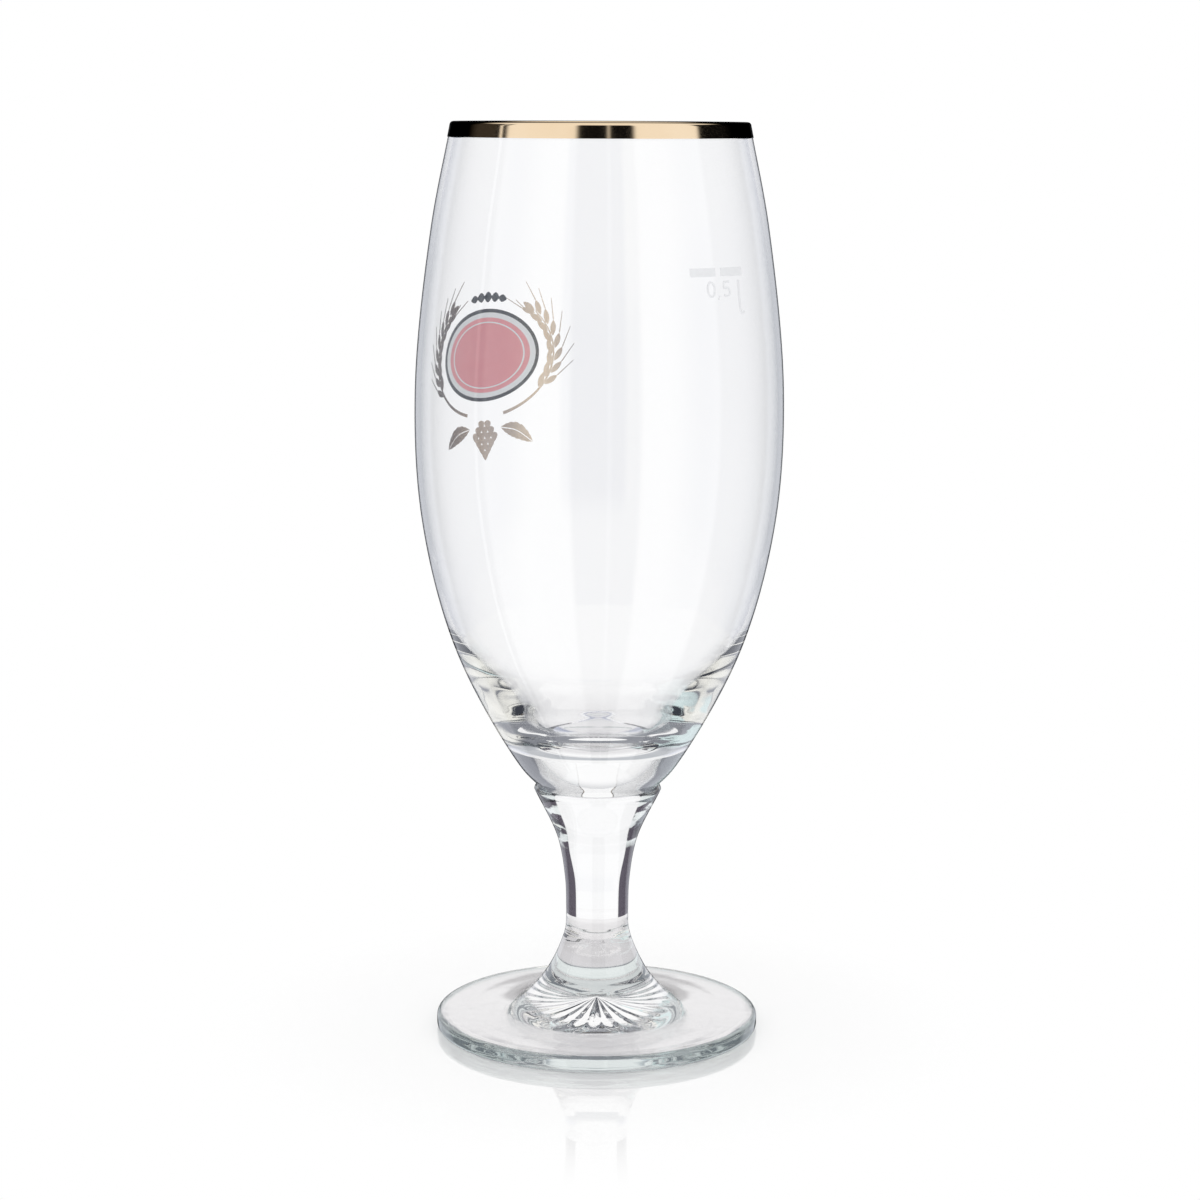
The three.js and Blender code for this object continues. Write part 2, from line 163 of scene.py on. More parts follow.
# Camera, at the photograph's viewing angle.
CAMERA_AZIMUTH = math.radians(138)
CAMERA_DISTANCE = 701.9
CAMERA_HEIGHT = 221.7
CAMERA_TILT = math.radians(9.43)
CAMERA_ROLL = math.radians(0.25)
CAMERA_PAN = math.radians(-0.03)
CAMERA_LENS = 89.2
CAMERA_SENSOR = 36


# Shader nodes.

class Wire:
    """A node's output, which takes part in plain arithmetic."""

    def __init__(self, shop, socket):
        self.shop = shop
        self.socket = socket

    def __add__(self, other):
        return self.shop.math("ADD", self, other)

    def __sub__(self, other):
        return self.shop.math("SUBTRACT", self, other)

    def __rsub__(self, other):
        return self.shop.math("SUBTRACT", other, self)

    def __mul__(self, other):
        return self.shop.math("MULTIPLY", self, other)

    def __truediv__(self, other):
        return self.shop.math("DIVIDE", self, other)

    def __gt__(self, other):
        return self.shop.math("GREATER_THAN", self, other)

    __radd__ = __add__
    __rmul__ = __mul__


class Shop:
    """One node tree, and the few ways in which nodes are added to it."""

    def __init__(self, tree):
        self.tree = tree
        tree.nodes.clear()

    def node(self, kind, settings=None, sockets=None, output=0):
        node = self.tree.nodes.new(kind)
        for name, value in (settings or {}).items():
            setattr(node, name, value)
        for name, value in (sockets or {}).items():
            socket = self.pick(node.inputs, name)
            if isinstance(value, Wire):
                self.tree.links.new(value.socket, socket)
            else:
                socket.default_value = value
        return Wire(self, self.pick(node.outputs, output)) if node.outputs else node

    @staticmethod
    def pick(sockets, name):
        """A socket by its identifier, its name or its place."""
        return next((socket for socket in sockets if socket.identifier == name), None) or sockets[name]

    def math(self, operation, first, second=0.0):
        sockets = {"Value": first, "Value_001": second}
        return self.node("ShaderNodeMath", {"operation": operation}, sockets)

    def length(self, first, second):
        return self.math("SQRT", first * first + second * second)

    def mix(self, share, first, second):
        sockets = {"Factor_Float": share, "A_Color": first, "B_Color": second}
        return self.node("ShaderNodeMix", {"data_type": "RGBA"}, sockets, "Result_Color")

    def blend(self, share, first, second):
        sockets = {"Fac": share, "Shader": first, "Shader_001": second}
        return self.node("ShaderNodeMixShader", {}, sockets)

    def rise(self, value, low, high):
        """0 below low, 1 above high, and smooth between."""
        sockets = {"Value": value, "From Min": low, "From Max": high}
        return self.node("ShaderNodeMapRange", {"interpolation_type": "SMOOTHSTEP"}, sockets)

    def past(self, value, level, soft):
        """0 below the level and 1 above it, with a soft edge."""
        return self.rise(value, level - soft, level + soft)

    def window(self, value, low, high, soft):
        """1 between low and high, and 0 outside them."""
        return self.past(value, low, soft) * (1 - self.past(value, high, soft))

    def place(self):
        """A point of the piece, in metres."""
        return self.node("ShaderNodeTexCoord", {}, {}, "Object")

    def noise(self, scale, detail=2.0, stretch=(1, 1, 1)):
        """Clouds, with so many to a metre."""
        place = self.node("ShaderNodeMapping", {}, {"Vector": self.place(), "Scale": stretch})
        sockets = {"Vector": place, "Scale": scale, "Detail": detail}
        return self.node("ShaderNodeTexNoise", {}, sockets)

    def bump(self, height, strength, depth):
        sockets = {"Height": height, "Strength": strength, "Distance": depth * MM}
        return self.node("ShaderNodeBump", {}, sockets)

    def facing(self, vector=None):
        """0 where the vector, or else the surface, faces the eye, and 1 where it lies across."""
        sockets = {"Blend": 0.5}
        if vector:
            unit = self.node("ShaderNodeVectorMath", {"operation": "NORMALIZE"}, {"Vector": vector})
            sockets["Normal"] = unit
        return self.node("ShaderNodeLayerWeight", {}, sockets, "Facing")

    def path(self, output):
        """What the ray has met so far, or what kind of ray it is."""
        return self.node("ShaderNodeLightPath", {}, {}, output)

    def bounced(self, kind, times=1):
        """1 for a ray that has made so many bounces of the kind, or more."""
        return self.path(kind + " Depth") > times - 0.5

    def axes(self, vector):
        parts = self.node("ShaderNodeSeparateXYZ", {}, {"Vector": vector}).socket.node
        return [Wire(self, output) for output in parts.outputs]


def rgb(red, green, blue):
    return (red, green, blue, 1)


WHITE = rgb(1, 1, 1)
BLACK = rgb(0, 0, 0)


def finish(name):
    material = bpy.data.materials.new(name)
    material.use_nodes = True
    return material, Shop(material.node_tree)


def show(shop, shader):
    shop.node("ShaderNodeOutputMaterial", {}, {"Surface": shader})


# Finishes.

GLASS_INDEX = 1.5
GLASS_BOUNCES = 32
CAUGHT_BOUNCES = 14
GLASS_SHADE = rgb(0.975, 0.975, 0.975)

# Stem: where its side is painted dark (painted shade), by the tangent of its turn from the eye, and the
# pale patches of painted light in it.
# Levels are over the table.
STEM_PAINTED_SHADE_TURN = (0.89, 0.95)
STEM_PAINTED_SHADE_FACING = (0.05, 0.15)
BELL_LEVELS = (41, 48)
BELL_SOFT = 4
BELL_EXTRA_TURN = 0.2
PAINTED_PATCH_LEVELS = (45, 48)
PAINTED_PATCH_NOISE = (0.50, 0.58)

# Foot: the radii and levels of its green edge, its waves, its flutes with their painted dark strokes,
# and its rings.
GREEN_EDGE = (FOOT_RADIUS - 1.4, FOOT_RADIUS - 0.6)
WAVY_EDGE = (FOOT_RADIUS - 3, FOOT_RADIUS - 1)
EDGE_WAVES = 3
FLUTES = 22
FLUTE_NOISE = 2
FLUTE_RADII = (3, 14)
FLUTE_SOFT = 3
FLUTE_LEVELS = (4.5, 5)
FLUTE_PAINTED_SHADE = (0.7, 1.2)
RING_LEVELS = (10, 13)
RING_SHARE = 0.8

# Gold and enamel.
BAND_PAINTED_SHADE_FACING = (0.40, 0.52)
GOLD_PRINT_SHADE_TURN = (-0.05, 0.35)
PANEL_BORDER = (0.925, 0.94)
PANEL_INSET = (0.80, 0.83)
INSET_SOFT = 0.006
ENAMEL_SHEEN_NOISE = (0.5, 0.75)


def glass_shader(shop, tint, roughness, normal):
    """Clear glass that lets the lamp's light through, and light that it has caught for long."""
    glass = shop.node("ShaderNodeBsdfPrincipled", {}, {
        "Base Color": tint,
        "Roughness": roughness,
        "IOR": GLASS_INDEX,
        "Transmission Weight": 1.0,
        "Normal": normal,
    })
    passing = shop.node("ShaderNodeBsdfTransparent", {}, {"Color": GLASS_SHADE})
    caught = shop.path("Ray Depth") > CAUGHT_BOUNCES
    return shop.blend(shop.math("MAXIMUM", shop.path("Is Shadow Ray"), caught), glass, passing)


def blown_glass():
    """The bowl: thin, very even, with the faint draw lines of blowing."""
    material, shop = finish("blown_glass")
    waves = shop.noise(scale=26, detail=1.0, stretch=(1, 1, 0.35))
    roughness = 0.012 + 0.012 * shop.noise(scale=60)
    normal = shop.bump(waves, strength=0.05, depth=0.4)
    show(shop, glass_shader(shop, rgb(0.995, 0.996, 0.999), roughness, normal))
    return material


def pressed_stem_glass():
    """The stem: solid, with its sides painted dark as painted shade where they turn from the eye, and
    pale patches of painted light high up.
    """
    material, shop = finish("pressed_stem_glass")
    clear = rgb(0.985, 0.988, 0.995)
    dark = rgb(0.016, 0.013, 0.020)
    pale = rgb(0.80, 0.88, 0.88)
    x, y, z = shop.axes(shop.place())
    height = z / MM
    outward = shop.node("ShaderNodeCombineXYZ", {}, {"X": x, "Y": y})
    along = shop.node("ShaderNodeCombineXYZ", {}, {"X": 0 - y, "Y": x})
    # Painted shade: where the stem's side turns from the eye, its glass tint goes near black, except
    # for light that has bounced off a diffuse surface.
    turn = (1 - shop.facing(along)) / (1 - shop.facing(outward))
    narrowing = BELL_EXTRA_TURN * shop.window(height, *BELL_LEVELS, BELL_SOFT)
    side = shop.rise(turn - narrowing, *STEM_PAINTED_SHADE_TURN) * shop.rise(shop.facing(), *STEM_PAINTED_SHADE_FACING)
    side = side * (1 - shop.bounced("Diffuse"))
    # Painted light: high up, noise turns the painted shade into pale patches.
    patch_noise = shop.noise(scale=150, detail=2.0, stretch=(1, 1, 2.6))
    painted_light_patches = shop.rise(patch_noise, *PAINTED_PATCH_NOISE) * shop.rise(height, *PAINTED_PATCH_LEVELS)
    tint = shop.mix(side, clear, shop.mix(painted_light_patches, dark, pale))
    roughness = 0.012 + 0.015 * shop.noise(scale=80)
    normal = shop.bump(shop.noise(scale=55, detail=1.5), strength=0.06, depth=0.4)
    show(shop, glass_shader(shop, tint, roughness, normal))
    return material


def pressed_foot_glass():
    """The foot: greener and wavier at its edge, fluted underneath with dark strokes painted on as
    painted shade, and ringed on its neck.
    """
    material, shop = finish("pressed_foot_glass")
    clear = rgb(0.995, 0.990, 0.992)
    green = rgb(0.60, 0.68, 0.67)
    dark = rgb(0.012, 0.014, 0.02)
    x, y, z = shop.axes(shop.place())
    away = shop.length(x, y) / MM
    height = z / MM
    angle = shop.math("ARCTAN2", x, y)
    flutes = shop.math("SINE", FLUTES * angle) + FLUTE_NOISE * shop.noise(scale=160, detail=2.0)
    under = shop.window(away, *FLUTE_RADII, FLUTE_SOFT) * (1 - shop.rise(height, *FLUTE_LEVELS))
    bounced = shop.math("MAXIMUM", shop.bounced("Diffuse"), shop.bounced("Glossy"))
    # Painted shade: dark strokes over the flutes in the glass tint, for rays that haven't bounced off a
    # diffuse or glossy surface.
    painted_dark_strokes = shop.rise(flutes, *FLUTE_PAINTED_SHADE) * under * (1 - bounced)
    tint = shop.mix(painted_dark_strokes, shop.mix(shop.rise(away, *GREEN_EDGE), clear, green), dark)
    rings = shop.noise(scale=520, detail=1.0, stretch=(0.01, 0.01, 1)) * shop.rise(height, *RING_LEVELS)
    waves = shop.noise(scale=70, detail=2.0) * (1 + EDGE_WAVES * shop.rise(away, *WAVY_EDGE))
    relief = waves + flutes * under + RING_SHARE * rings
    roughness = 0.015 + 0.02 * shop.noise(scale=70)
    show(shop, glass_shader(shop, tint, roughness, shop.bump(relief, strength=0.2, depth=0.6)))
    return material


def fused_weld():
    """Faces inside the fused glass, where nothing is seen."""
    material, shop = finish("fused_weld")
    show(shop, shop.node("ShaderNodeBsdfPrincipled", {}, {"Base Color": WHITE, "Alpha": 0.0}))
    return material


def burnished_gold():
    """The lip band: bright gold with fine polishing lines round it, painted dark as painted shade where
    it turns away.
    """
    material, shop = finish("burnished_gold")
    lines = shop.noise(scale=900, detail=2.0, stretch=(0.02, 0.02, 1))
    cloud = shop.noise(scale=90, detail=3.0)
    gold = shop.mix(cloud, rgb(0.86, 0.66, 0.44), rgb(0.93, 0.76, 0.55))
    dark = rgb(0.006, 0.005, 0.004)
    # Painted shade: the gold's colour goes near black where the band turns from the eye.
    show(shop, shop.node("ShaderNodeBsdfPrincipled", {}, {
        "Base Color": shop.mix(shop.rise(shop.facing(), *BAND_PAINTED_SHADE_FACING), gold, dark),
        "Metallic": 1.0,
        "Specular Tint": BLACK,
        "Roughness": 0.06 + 0.06 * lines,
        "Normal": shop.bump(lines, strength=0.04, depth=0.1),
    }))
    return material


def show_print(shop, sockets):
    """A fired print, which shows through the glass and isn't mirrored in it."""
    print_shader = shop.node("ShaderNodeBsdfPrincipled", {}, sockets)
    nothing = shop.node("ShaderNodeBsdfTransparent")
    show(shop, shop.blend(shop.bounced("Glossy"), print_shader, nothing))


def front_angle(shop, x, y):
    """Angle round the glass from the middle of the front print."""
    return shop.math("ARCTAN2", x, 0 - y)


def lustre_gold():
    """The printed gold: browner and cloudier than the band, and painted dark brown on one side of the
    print as painted shade.
    """
    material, shop = finish("lustre_gold")
    cloud = shop.noise(scale=160, detail=3.0)
    gold = shop.mix(cloud, rgb(0.55, 0.42, 0.30), rgb(0.82, 0.68, 0.52))
    brown = rgb(0.15, 0.11, 0.085)
    x, y, z = shop.axes(shop.place())
    grain = shop.noise(scale=2500, detail=2.0)
    # Painted shade: the gold's colour goes dark brown towards one side of the print, by its angle round
    # the glass.
    show_print(shop, {
        "Base Color": shop.mix(shop.rise(front_angle(shop, x, y), *GOLD_PRINT_SHADE_TURN), gold, brown),
        "Metallic": 1.0,
        "Roughness": 0.16 + 0.12 * grain,
        "Normal": shop.bump(grain, strength=0.06, depth=0.1),
    })
    return material


def panel_reach(shop):
    """How far out in the oval panel a point lies: 1 on the panel's edge."""
    x, y, z = shop.axes(shop.place())
    across = front_angle(shop, x, y) * (bowl_radius(PRINT_LEVEL) / PANEL_HALF_WIDTH)
    up = (z / MM - PRINT_LEVEL) / PANEL_HALF_HEIGHT
    return shop.length(across, up)


def red_enamel():
    """The panel: red, with a pale border and a pale inset line."""
    material, shop = finish("red_enamel")
    reach = panel_reach(shop)
    border = shop.rise(reach, *PANEL_BORDER)
    inset = shop.window(reach, *PANEL_INSET, INSET_SOFT)
    mottle = shop.noise(scale=420, detail=4.0)
    red = shop.mix(mottle, rgb(0.86, 0.30, 0.33), rgb(0.92, 0.38, 0.40))
    pale = rgb(0.90, 0.92, 0.93)
    show_print(shop, {
        "Base Color": shop.mix(shop.math("MAXIMUM", border, inset), red, pale),
        "Roughness": 0.32 + 0.15 * mottle,
        "Normal": shop.bump(mottle, strength=0.05, depth=0.1),
    })
    return material


def dark_enamel():
    """The drawn lines: near black with a teal cast, and grey in places as a painted sheen."""
    material, shop = finish("dark_enamel")
    painted_sheen = shop.rise(shop.noise(scale=130, detail=3.0), *ENAMEL_SHEEN_NOISE)
    grain = shop.noise(scale=2500, detail=2.0)
    # Painted sheen: noise lightens the near-black colour to grey in patches.
    show_print(shop, {
        "Base Color": shop.mix(painted_sheen, rgb(0.012, 0.02, 0.024), rgb(0.10, 0.115, 0.12)),
        "Roughness": 0.28 + 0.2 * grain,
        "Normal": shop.bump(grain, strength=0.05, depth=0.1),
    })
    return material


def pale_enamel():
    """The fill mark: thin pale grey, slightly grainy."""
    material, shop = finish("pale_enamel")
    grain = shop.noise(scale=1800, detail=3.0)
    show_print(shop, {
        "Base Color": shop.mix(grain, rgb(0.81, 0.82, 0.84), rgb(0.92, 0.93, 0.95)),
        "Roughness": 0.5 + 0.2 * grain,
        "Normal": shop.bump(grain, strength=0.08, depth=0.1),
    })
    return material


# Lines and sections.

def climb(start, stations):
    """Stations given as (radius, rise over the one before), turned into (radius, height)."""
    heights = start + np.cumsum([rise for radius, rise in stations])
    return [(radius, height) for (radius, rise), height in zip(stations, heights)]


def smooth_line(stations, steps=LINE_STEPS):
    """A centripetal Catmull-Rom line through the stations, with so many steps between two."""
    points = np.array(stations, float)
    points = np.vstack([2 * points[0] - points[1], points, 2 * points[-1] - points[-2]])
    share = np.linspace(0, 1, steps, endpoint=False)[:, None]
    line = []
    for before, first, second, after in zip(points, points[1:], points[2:], points[3:]):
        lead = np.linalg.norm(first - before) ** 0.5
        span = np.linalg.norm(second - first) ** 0.5
        trail = np.linalg.norm(after - second) ** 0.5
        step = (second - first) / span
        leave = span * ((first - before) / lead - (second - before) / (lead + span) + step)
        arrive = span * (step - (after - first) / (span + trail) + (after - second) / trail)
        bend = 3 * (second - first) - 2 * leave - arrive
        turn = 2 * (first - second) + leave + arrive
        line.append(first + leave * share + bend * share ** 2 + turn * share ** 3)
    return np.vstack([*line, points[-2]])


def round_line(radius, height, size, start, end, steps=ROUND_STEPS):
    """A round of the section, from one angle to another."""
    angles = np.linspace(start, end, steps + 1)
    return np.column_stack([radius + size * np.cos(angles), height + size * np.sin(angles)])


LIP_ROUND = WALL / 2
LIP_RADIUS, LIP_RISE = BOWL_SIDE[-1]
BOWL_LINE = smooth_line(climb(BOWL_WELD, [*BOWL_SIDE[:-1], (LIP_RADIUS, LIP_RISE - LIP_ROUND)]))
LIP_CENTRE = LIP_RADIUS - LIP_ROUND


def bowl_radius(height):
    return float(np.interp(height, BOWL_LINE[:, 1], BOWL_LINE[:, 0]))


# Meshes.

def new_piece(name, vertices, faces, slots, finishes):
    mesh = bpy.data.meshes.new(name)
    mesh.from_pydata([tuple(MM * value for value in vertex) for vertex in vertices], [], faces)
    for material in finishes:
        mesh.materials.append(material)
    mesh.polygons.foreach_set("material_index", slots)
    mesh.polygons.foreach_set("use_smooth", [True] * len(faces))
    mesh.set_sharp_from_angle(angle=CREASE)
    mesh.update()
    piece = bpy.data.objects.new(name, mesh)
    bpy.context.scene.collection.objects.link(piece)
    return piece


def dress(piece, node):
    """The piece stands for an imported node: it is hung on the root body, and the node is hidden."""
    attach(piece, "root")
    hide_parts(node)


def turned(name, runs, finishes):
    """A solid of revolution. Each run of its section is (index of its finish, points)."""
    points = [runs[0][1][0]]
    spans = []
    for slot, line in runs:
        points.extend(line[1:])
        spans.extend([slot] * (len(line) - 1))
    vertices, rings = [], []
    for radius, height in points:
        on_axis = radius < AXIS
        count = 1 if on_axis else TURNS
        reach = 0 if on_axis else radius
        rings.append([len(vertices) + i % count for i in range(TURNS)])
        for i in range(count):
            angle = 2 * math.pi * i / TURNS
            vertices.append((reach * math.sin(angle), -reach * math.cos(angle), height))
    faces, slots = [], []
    for low, high, slot in zip(rings, rings[1:], spans):
        for i in range(TURNS):
            j = (i + 1) % TURNS
            faces.append(list(dict.fromkeys((low[i], low[j], high[j], high[i]))))
            slots.append(slot)
    return new_piece(name, vertices, faces, slots, finishes)


CLEAR, WELD = 0, 1


def make_bowl(clear, weld):
    """The bowl: its outline, the round of the lip, and the well inside."""
    well_floor = BOWL_WELD + BASE_THICKNESS
    well = [(0, well_floor), (FLOOR_RADIUS, well_floor + FLOOR_DISH)]
    for rise, wall in WELL_WALLS:
        well.append((bowl_radius(well_floor + rise) - wall, well_floor + rise))
    well = smooth_line(well)
    above = BOWL_LINE[BOWL_LINE[:, 1] > well[-1][1] + WALL]
    inside = np.vstack([well, above[:-1] - (WALL, 0)])
    lip = round_line(LIP_CENTRE, LIP - LIP_ROUND, LIP_ROUND, 0, math.pi)
    skin = [(0, BOWL_WELD), tuple(BOWL_LINE[0])]
    side = np.vstack([BOWL_LINE[:-1], lip, inside[::-1]])
    bowl = turned("bowl_glass", [(WELD, skin), (CLEAR, side)], [clear, weld])
    dress(bowl, "bowl")


def make_stem(clear, weld):
    """The stem, from its weld on the foot to the collar under the bowl."""
    side = smooth_line(climb(FOOT_WELD, STEM_SIDE))
    collar_radius, collar_height = side[-1]
    inner = collar_radius - COLLAR_SHOULDER
    shoulder = round_line(inner, collar_height, COLLAR_SHOULDER, 0, math.pi / 2)
    top = [shoulder[-1], (BOWL_SIDE[0][0], BOWL_WELD)]
    stem = turned("stem_glass", [
        (WELD, [(0, FOOT_WELD), side[0]]),
        (CLEAR, np.vstack([side[:-1], shoulder])),
        (CLEAR, top),
        (WELD, [top[-1], (0, BOWL_WELD)]),
    ], [clear, weld])
    dress(stem, "stem")


def make_foot(clear, weld):
    """The foot: a disc with a round edge, a flared neck and a hollow underside."""
    ring_outer = FOOT_RADIUS - FOOT_EDGE_ROUND
    ring_inner = ring_outer - STANDING_RING_WIDTH
    kick = smooth_line(climb(0, [
        (ring_inner, 0),
        (ring_inner - KICK_EDGE_WIDTH, KICK_EDGE_RISE),
        (DIMPLE_RADIUS, DIMPLE_EDGE_RISE),
        (0, DIMPLE_HEIGHT),
    ]))[::-1]
    edge_top = FOOT_EDGE_HEIGHT - FOOT_EDGE_ROUND
    lower = round_line(ring_outer, FOOT_EDGE_ROUND, FOOT_EDGE_ROUND, -math.pi / 2, 0)
    upper = round_line(ring_outer, edge_top, FOOT_EDGE_ROUND, 0, math.pi / 2)
    top = smooth_line(climb(FOOT_EDGE_HEIGHT, [(ring_outer, 0), *FOOT_TOP]))
    side = np.vstack([kick, lower, upper, top[1:]])
    foot = turned("foot_glass", [(CLEAR, side), (WELD, [top[-1], (0, FOOT_WELD)])], [clear, weld])
    dress(foot, "foot")


def make_lip_band(gold):
    """The gold: a band round the outside that is carried over the lip."""
    foot = LIP - BAND_HEIGHT

    def skin(offset):
        heights = np.linspace(foot, LIP - LIP_ROUND, ROUND_STEPS)[:-1]
        band = [(bowl_radius(height) + offset, height) for height in heights]
        lip = round_line(LIP_CENTRE, LIP - LIP_ROUND, LIP_ROUND + offset, 0, math.pi)
        return np.vstack([band, lip])

    outer = skin(FILM_CLEARANCE + FILM)
    inner = skin(FILM_CLEARANCE)[::-1]
    band = turned("lip_gilding", [(0, np.vstack([outer, inner, outer[:1]]))], [gold])
    dress(band, "rim_band")


# Prints: strips beside a flat line, wrapped on the bowl.

def strip(line, half_width, closed=False):
    """A strip along a flat line, as a grid of points: one row for each point of the line."""
    line = np.array(line, float)
    if closed:
        ahead = np.roll(line, -1, axis=0) - np.roll(line, 1, axis=0)
    else:
        ahead = np.gradient(line, axis=0)
    ahead /= np.linalg.norm(ahead, axis=1)[:, None]
    right = np.column_stack([ahead[:, 1], -ahead[:, 0]])
    widths = np.broadcast_to(np.maximum(half_width, POINT), len(line))
    across = max(1, math.ceil(2 * widths.max() / FILM_CELL))
    shares = np.linspace(-1, 1, across + 1)
    return line[:, None] + right[:, None] * (widths[:, None] * shares)[:, :, None], closed


def straight(start, end, steps):
    return np.linspace(start, end, steps + 1)


def oval(centre, half_width, half_height, start, end, steps):
    x, y = centre
    angles = np.linspace(start, end, steps + 1)
    return np.column_stack([x + half_width * np.cos(angles), y + half_height * np.sin(angles)])


def ring(centre, half_width, half_height, steps):
    return oval(centre, half_width, half_height, 0, 2 * math.pi, steps)[:-1]


def film(name, strips, facing, level, material):
    """Thin closed solids on the bowl, one for each strip, in one piece that stands for a node."""
    vertices, faces = [], []
    spread = bowl_radius(level)
    for grid, closed in strips:
        rows, stride = grid.shape[:2]
        start, layer = len(vertices), rows * stride
        for offset in (FILM_CLEARANCE, FILM_CLEARANCE + FILM):
            for x, y in grid.reshape(-1, 2):
                angle = facing + x / spread
                radius = bowl_radius(level + y) + offset
                vertices.append((radius * math.sin(angle), -radius * math.cos(angle), level + y))

        def at(top, i, j):
            return start + top * layer + (i % rows) * stride + j

        last = stride - 1
        for i in range(rows if closed else rows - 1):
            for j in range(last):
                faces.append((at(1, i, j), at(1, i, j + 1), at(1, i + 1, j + 1), at(1, i + 1, j)))
                faces.append((at(0, i, j), at(0, i + 1, j), at(0, i + 1, j + 1), at(0, i, j + 1)))
            faces.append((at(0, i, 0), at(1, i, 0), at(1, i + 1, 0), at(0, i + 1, 0)))
            faces.append((at(0, i, last), at(0, i + 1, last), at(1, i + 1, last), at(1, i, last)))
        for j in range(0 if closed else last):
            end = rows - 1
            faces.append((at(0, 0, j), at(0, 0, j + 1), at(1, 0, j + 1), at(1, 0, j)))
            faces.append((at(0, end, j), at(1, end, j), at(1, end, j + 1), at(0, end, j + 1)))
    piece = new_piece(name + "_film", vertices, faces, [0] * len(faces), [material])
    piece.visible_glossy = False
    dress(piece, name)


def almond(steps, fullness=0.8):
    """Half widths of a leaf or a grain of half width 1, from its foot to its tip."""
    return np.sin(np.pi * np.linspace(0, 1, steps + 1)) ** fullness


OUTLINE_SPAN = OUTLINE_GAP + OUTLINE_WIDTH / 2
WREATH_SPAN = OUTLINE_GAP + OUTLINE_WIDTH + WREATH_GAP + EAR_HALF_WIDTH
WREATH_HALF_HEIGHT = PANEL_HALF_HEIGHT + WREATH_SPAN


def make_panel(red, dark):
    """The red oval and the dark line round it."""
    steps = 40
    half = PANEL_HALF_WIDTH + OUTLINE_GAP
    turn = np.linspace(-math.pi / 2, math.pi / 2, steps + 1)
    line = np.column_stack([half * np.sin(turn), 0 * turn])
    height = (PANEL_HALF_HEIGHT + OUTLINE_GAP) * np.cos(turn)
    film("oval_panel", [strip(line, height)], FRONT, PRINT_LEVEL, red)
    edge = ring((0, 0), PANEL_HALF_WIDTH + OUTLINE_SPAN, PANEL_HALF_HEIGHT + OUTLINE_SPAN, steps=120)
    outline = strip(edge, OUTLINE_WIDTH / 2, closed=True)
    film("oval_outline", [outline], FRONT, PRINT_LEVEL, dark)


def turned_way(ahead, angle):
    """A flat direction, turned to the left by an angle."""
    return np.array(Matrix.Rotation(angle, 2) @ Vector(ahead))


def make_ear(name, side, gold):
    """A barley ear: a stalk, two rows of grains with their awns, and a grain at the tip."""
    reach = PANEL_HALF_WIDTH + WREATH_SPAN
    start = -math.acos(STALK_SPACING / 2 / reach)
    end = math.acos(EAR_TIP_SPACING / 2 / reach)
    line = oval((0, 0), reach, WREATH_HALF_HEIGHT, start, end, steps=90) * (side, 1)
    gone = np.concatenate([[0], np.cumsum(np.linalg.norm(np.diff(line, axis=0), axis=1))])

    def at(distance):
        return np.array([np.interp(distance, gone, line[:, axis]) for axis in (0, 1)])

    length = gone[-1] - GRAIN_LENGTH
    stalk_places = np.linspace(0, length, STALK_POINTS)
    stalk_widths = [STALK_HALF_WIDTH, STALK_TOP_HALF_WIDTH, STALK_TIP_HALF_WIDTH]
    stalk_width = np.interp(stalk_places, [0, STALK_LENGTH, length], stalk_widths)
    strips = [strip([at(place) for place in stalk_places], stalk_width)]
    steps = 8
    grain_width = GRAIN_HALF_WIDTH * almond(steps, GRAIN_FULLNESS)
    awn_width = AWN_HALF_WIDTH * np.linspace(1, AWN_TAPER, steps + 1)
    for count, place in enumerate(np.arange(STALK_LENGTH, length, GRAIN_PITCH)):
        ahead = at(place + EAR_STEP) - at(place - EAR_STEP)
        ahead /= np.linalg.norm(ahead)
        hand = 1 if count % 2 else -1
        lean = hand * GRAIN_LEAN
        aside = np.array((-ahead[1], ahead[0]))
        grain_root = at(place) + aside * (hand * GRAIN_SPREAD)
        grain_way = turned_way(ahead, lean)
        awn_root = grain_root + grain_way * (GRAIN_LENGTH + AWN_GAP)
        awn_way = turned_way(ahead, lean * AWN_LEAN_SHARE)
        grain = straight(grain_root, grain_root + grain_way * GRAIN_LENGTH, steps)
        awn = straight(awn_root, awn_root + awn_way * AWN_LENGTH, steps)
        strips.extend([strip(grain, grain_width), strip(awn, awn_width)])
    tip = at(length)
    last = at(gone[-1]) - tip
    top_grain = straight(tip + TIP_GAP_SHARE * last, tip + (1 + TIP_GAP_SHARE) * last, steps)
    strips.append(strip(top_grain, grain_width))
    film(name, strips, FRONT, PRINT_LEVEL, gold)


def make_hop(gold):
    """A hop cone: staggered rows of pointed bracts."""
    top = -WREATH_HALF_HEIGHT - HOP_GAP
    row_height = HOP_LENGTH / (len(BRACT_ROWS) + BRACT_OVERHANG_IN_ROWS)
    pitch = 2 * HOP_HALF_WIDTH / max(BRACT_ROWS)
    steps = 10
    along = np.linspace(0, 1, steps + 1)
    body = BRACT_FULLNESS * np.sqrt(along) * (1 - along)
    strips = []
    for row, count in enumerate(BRACT_ROWS):
        high = top - row * row_height
        for place in range(count):
            x = pitch * (place - (count - 1) / 2)
            low = high - BRACT_LENGTH_IN_ROWS * row_height
            line = straight((x * BRACT_ROOT_SHARE, high), (x * BRACT_TIP_SHARE, low), steps)
            strips.append(strip(line, BRACT_HALF_WIDTH_SHARE * pitch * body))
    film("hop_cone", strips, FRONT, PRINT_LEVEL, gold)


